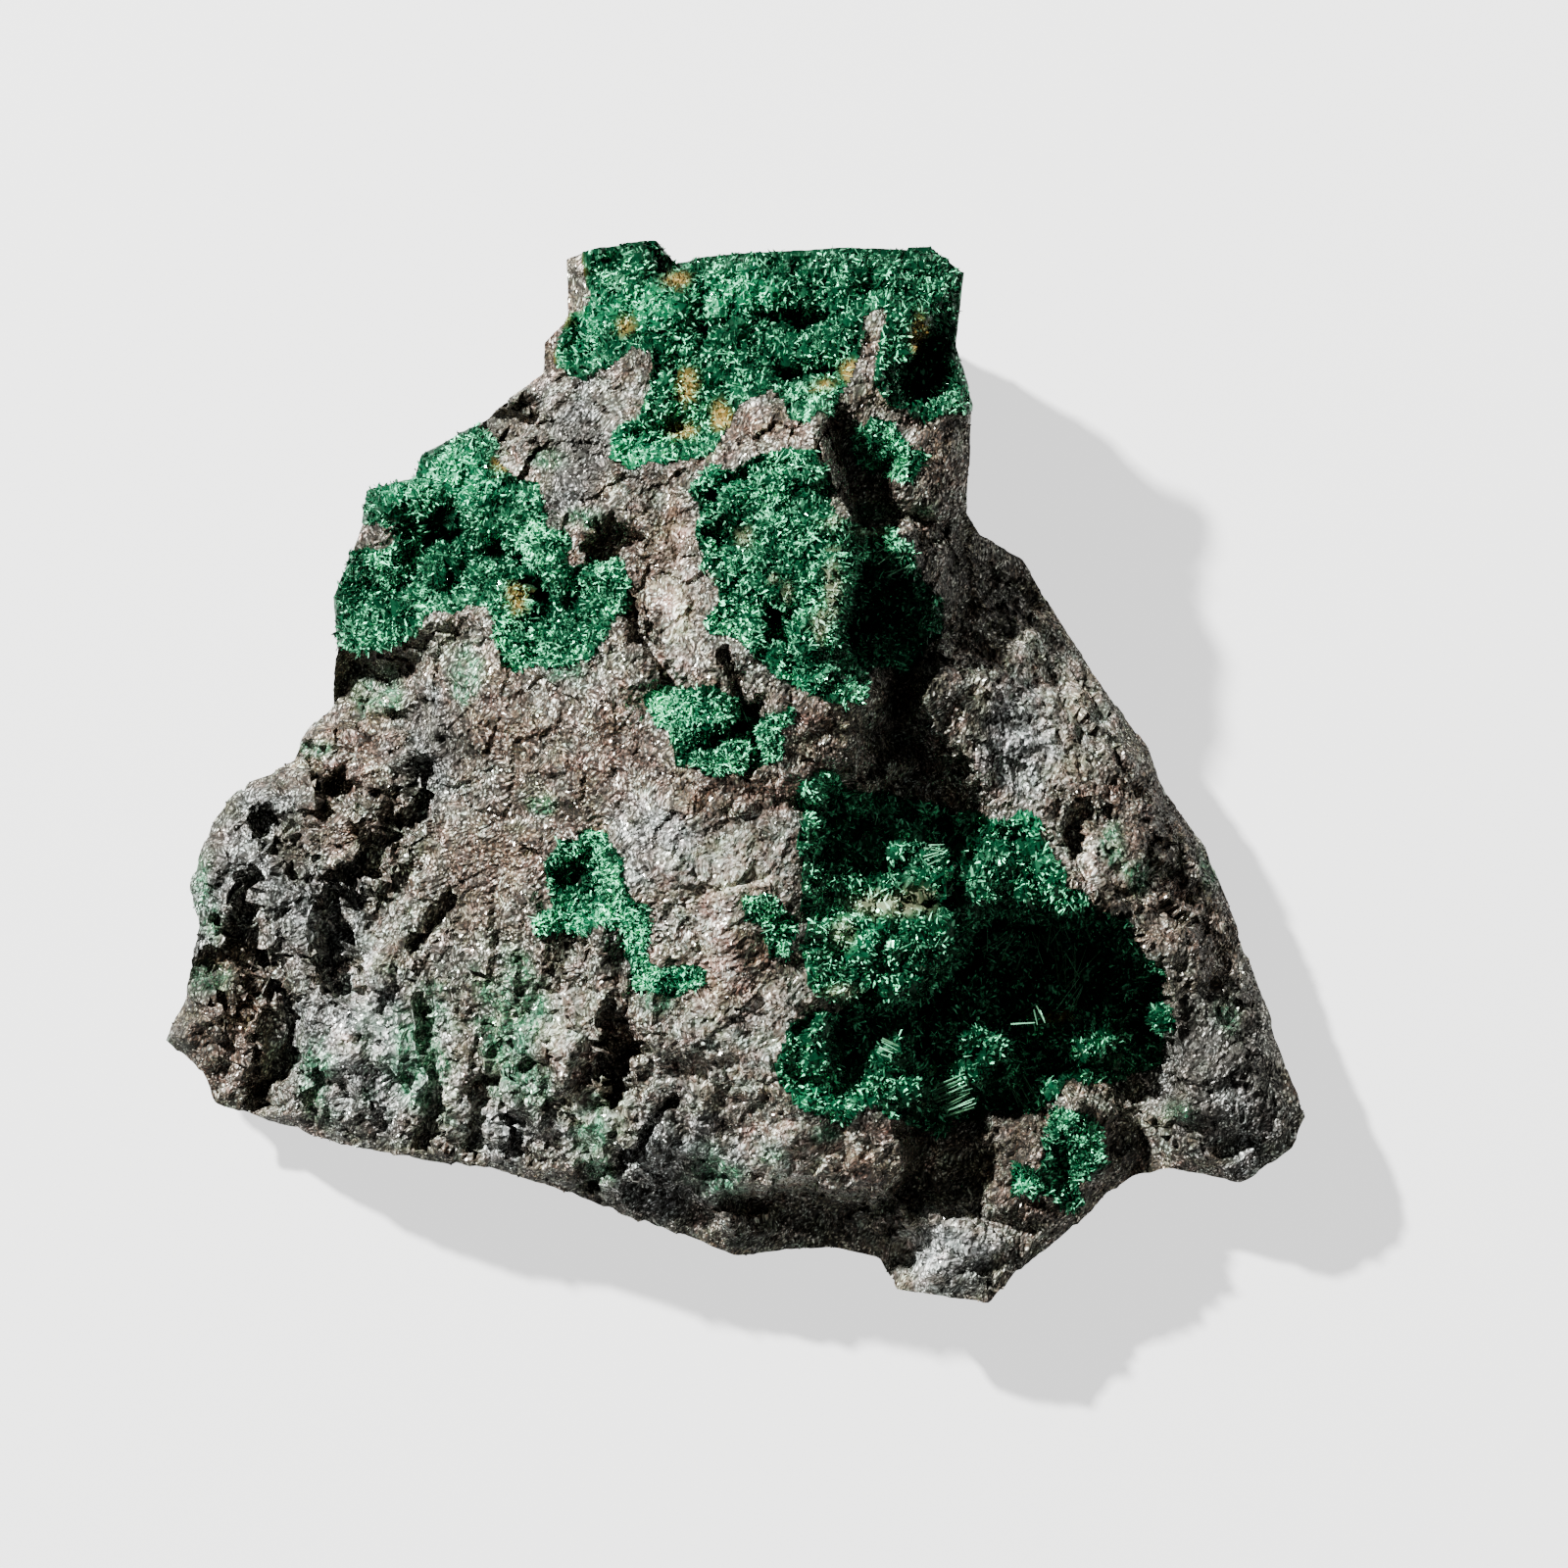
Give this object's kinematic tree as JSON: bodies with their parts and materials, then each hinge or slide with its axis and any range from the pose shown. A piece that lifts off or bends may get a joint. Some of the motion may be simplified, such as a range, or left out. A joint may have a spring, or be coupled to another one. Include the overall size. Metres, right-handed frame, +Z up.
{
  "type": "brochantite mineral specimen",
  "caption": "Broken lump of dark granular host rock with druses of emerald-green brochantite crystals in its hollows and over its crest, lying on its flat back.",
  "frame": {"origin": "on the surface that the specimen lies on, under the centre of its outline", "axes": "+X across the specimen to its lower right corner, +Y up the display side to the crusted top block, +Z up out of the display side"},
  "size_m": [0.09, 0.0834, 0.0368],
  "materials": {
    "host_rock": "rough broken rock with fine metallic glints",
    "brochantite": "vitreous crystals"
  },
  "bodies": {
    "root": {"host_rock": "host_rock", "druse_top": "brochantite", "druse_neck": "brochantite", "druse_left_shoulder": "brochantite", "druse_crest": "brochantite", "druse_saddle": "brochantite", "druse_great_hollow": "brochantite", "druse_hollow_rim": "brochantite", "druse_foot": "brochantite", "druse_slope": "brochantite"}
  },
  "joints": []
}
